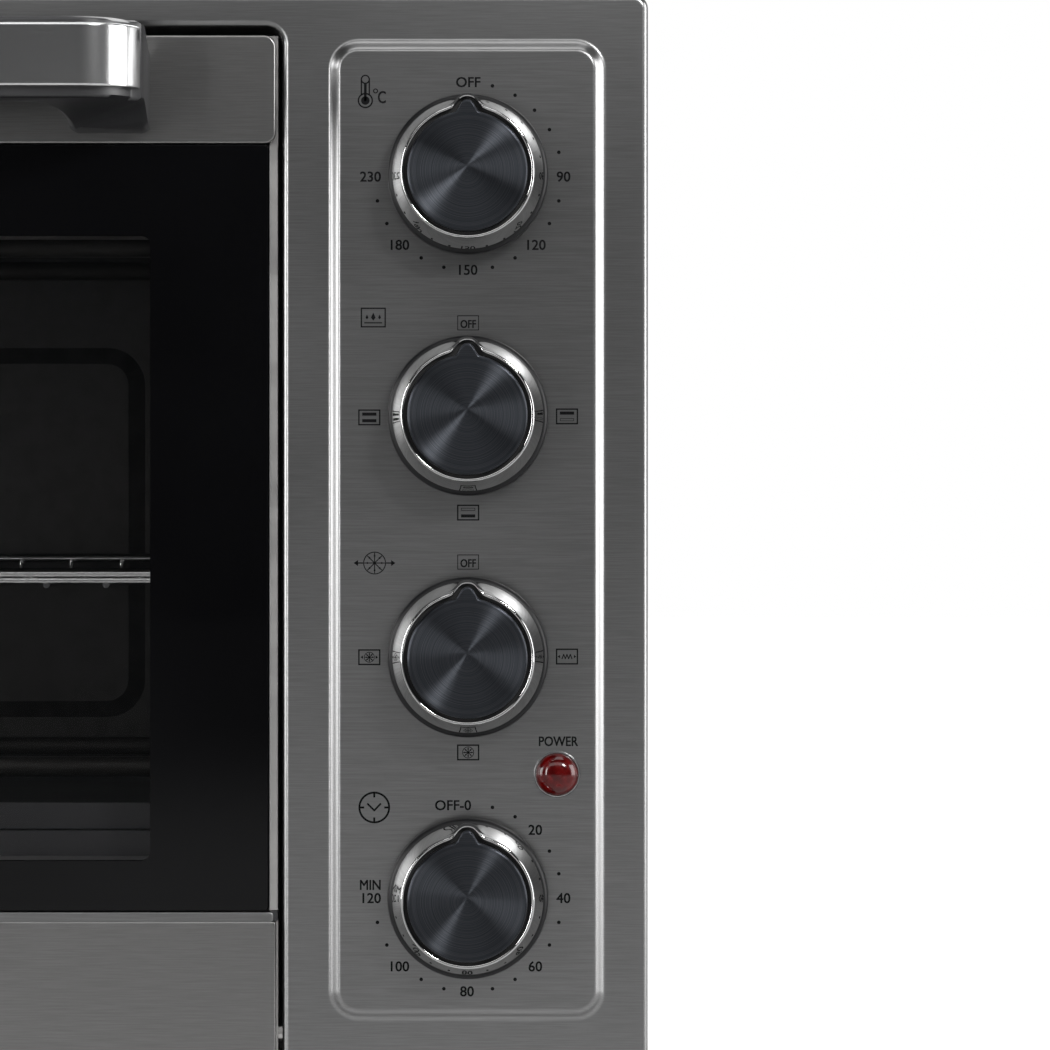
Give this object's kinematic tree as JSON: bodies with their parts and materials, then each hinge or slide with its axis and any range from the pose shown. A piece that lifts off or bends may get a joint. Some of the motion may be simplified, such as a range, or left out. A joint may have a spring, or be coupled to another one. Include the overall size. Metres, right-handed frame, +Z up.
{
  "type": "toaster oven",
  "caption": "Countertop toaster oven with a drop-down glass door, bar handle, wire rack, tubular heaters and rotary controls beside the door.",
  "frame": {"origin": "on the table, under the centre of the bounding box", "axes": "+X to the right of someone facing the oven, +Y towards its back, +Z up; the front faces -Y"},
  "size_m": [0.545, 0.39, 0.353],
  "materials": {
    "brushed_steel": "horizontal brushed",
    "silver_trim": "satin",
    "chrome": "polished",
    "spun_metal": "spun, dark anodised",
    "black_plastic": "fine satin",
    "black_paint": "fine-textured powder coat",
    "cavity_steel": "aluminised",
    "zinc_steel": "zinc plated",
    "tinted_glass": "tinted, black printed border",
    "red_lens": "translucent red",
    "rubber": "matte",
    "heater_steel": "oxidised"
  },
  "bodies": {
    "casing": {"front_panel": "brushed_steel", "rear_spacer_left": "black_plastic", "rear_spacer_right": "black_plastic", "cord_gland": "black_plastic", "thermostat_body": "black_plastic", "heating_switch": "black_plastic", "convection_switch": "black_plastic", "timer_body": "black_plastic", "outer_cover": "black_paint", "cavity_front_frame": "cavity_steel", "cavity_top": "cavity_steel", "cavity_floor": "cavity_steel", "cavity_back": "cavity_steel", "cavity_left_wall": "cavity_steel", "cavity_right_wall": "cavity_steel", "crumb_tray": "cavity_steel", "rear_panel": "zinc_steel", "base_pan": "zinc_steel", "thermostat_bulb": "zinc_steel", "spit_support": "zinc_steel", "spit_motor": "zinc_steel", "fan_motor": "zinc_steel", "power_lamp": "red_lens", "foot_front_left": "rubber", "foot_front_right": "rubber", "foot_rear_left": "rubber", "foot_rear_right": "rubber", "heater_top_front": "heater_steel", "heater_top_rear": "heater_steel", "heater_bottom_front": "heater_steel", "heater_bottom_rear": "heater_steel"},
    "door": {"door_frame": "cavity_steel", "door_glass": "tinted_glass", "door_top_strip": "brushed_steel", "door_bottom_strip": "brushed_steel", "handle_body": "black_plastic", "handle_trim": "silver_trim", "hinge_pin_left": "zinc_steel", "hinge_pin_right": "zinc_steel"},
    "rack": {"wire_rack": "chrome"},
    "temperature_knob": {"knob_body_temperature": "black_plastic", "knob_ring_temperature": "chrome", "knob_cap_temperature": "spun_metal", "knob_shaft_temperature": "zinc_steel"},
    "heating_knob": {"knob_body_heating": "black_plastic", "knob_ring_heating": "chrome", "knob_cap_heating": "spun_metal", "knob_shaft_heating": "zinc_steel"},
    "convection_knob": {"knob_body_convection": "black_plastic", "knob_ring_convection": "chrome", "knob_cap_convection": "spun_metal", "knob_shaft_convection": "zinc_steel"},
    "timer_knob": {"knob_body_timer": "black_plastic", "knob_ring_timer": "chrome", "knob_cap_timer": "spun_metal", "knob_shaft_timer": "zinc_steel"},
    "fan": {"fan_blade": "zinc_steel"},
    "spit_drive": {"spit_coupling": "zinc_steel"}
  },
  "joints": [
    {"name": "door_hinge", "type": "hinge", "parent": "casing", "child": "door", "pos_m": [-0.0487, -0.148, 0.0374], "axis": [1, 0, 0], "range_deg": [0, 85]},
    {"name": "rack_slide", "type": "slide", "parent": "casing", "child": "rack", "axis": [0, -1, 0], "range_m": [0, 0.136]},
    {"name": "temperature_turn", "type": "hinge", "parent": "casing", "child": "temperature_knob", "pos_m": [0.218, -0.165, 0.2979], "axis": [0, 1, 0], "range_deg": [0, 270]},
    {"name": "heating_turn", "type": "hinge", "parent": "casing", "child": "heating_knob", "pos_m": [0.218, -0.165, 0.22515], "axis": [0, 1, 0], "range_deg": [0, 270]},
    {"name": "convection_turn", "type": "hinge", "parent": "casing", "child": "convection_knob", "pos_m": [0.218, -0.165, 0.1524], "axis": [0, 1, 0], "range_deg": [0, 270]},
    {"name": "timer_turn", "type": "hinge", "parent": "casing", "child": "timer_knob", "pos_m": [0.218, -0.165, 0.07965], "axis": [0, 1, 0], "range_deg": [0, 270]},
    {"name": "fan_spin", "type": "hinge", "parent": "casing", "child": "fan", "pos_m": [0.159, 0.092, 0.195], "axis": [1, 0, 0], "continuous": true},
    {"name": "spit_spin", "type": "hinge", "parent": "casing", "child": "spit_drive", "pos_m": [0.145, -0.02, 0.2], "axis": [1, 0, 0], "continuous": true}
  ],
  "couplings": [
    {"joint": "rack_slide", "follows": "door_hinge", "m_per_rad": 0.09}
  ]
}
